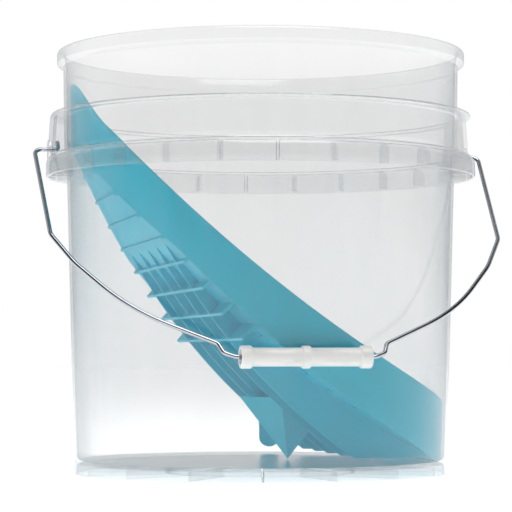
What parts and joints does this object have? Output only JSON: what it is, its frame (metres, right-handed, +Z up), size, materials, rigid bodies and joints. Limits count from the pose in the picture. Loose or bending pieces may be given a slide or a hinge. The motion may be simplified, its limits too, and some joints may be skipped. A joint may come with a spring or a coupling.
{
  "type": "wash bucket",
  "caption": "Round natural plastic wash pail with a wire bail, a hollow hand grip and a lift-out sloping washboard ramp.",
  "frame": {"origin": "middle of the foot ring's underside, where the pail stands", "axes": "+X from ear to ear, towards the ramp's foot; -Y is the front, where the bail rests; +Z is up"},
  "size_m": [0.34, 0.3174, 0.3105],
  "materials": {
    "natural_polypropylene": "translucent, moulded, satin gloss",
    "teal_polypropylene": "moulded, fine matt",
    "plated_steel": "bright zinc plated, drawn wire",
    "white_polyethylene": "moulded, semi gloss"
  },
  "bodies": {
    "bucket": {"bucket_shell": "natural_polypropylene"},
    "ramp": {"wash_ramp": "teal_polypropylene"},
    "bail": {"bail_wire": "plated_steel"},
    "grip": {"handle_grip": "white_polyethylene"}
  },
  "joints": [
    {"name": "bail_swing", "type": "hinge", "parent": "bucket", "child": "bail", "pos_m": [0, 0, 0.2367], "axis": [-1, 0, 0], "range_deg": [0, 271]},
    {"name": "grip_spin", "type": "hinge", "parent": "bail", "child": "grip", "pos_m": [0, -0.14785, 0.08575], "axis": [1, 0, 0], "continuous": true},
    {"name": "ramp_lift", "type": "slide", "parent": "bucket", "child": "ramp", "axis": [0, 0, 1], "range_m": [0, 0.3]}
  ]
}
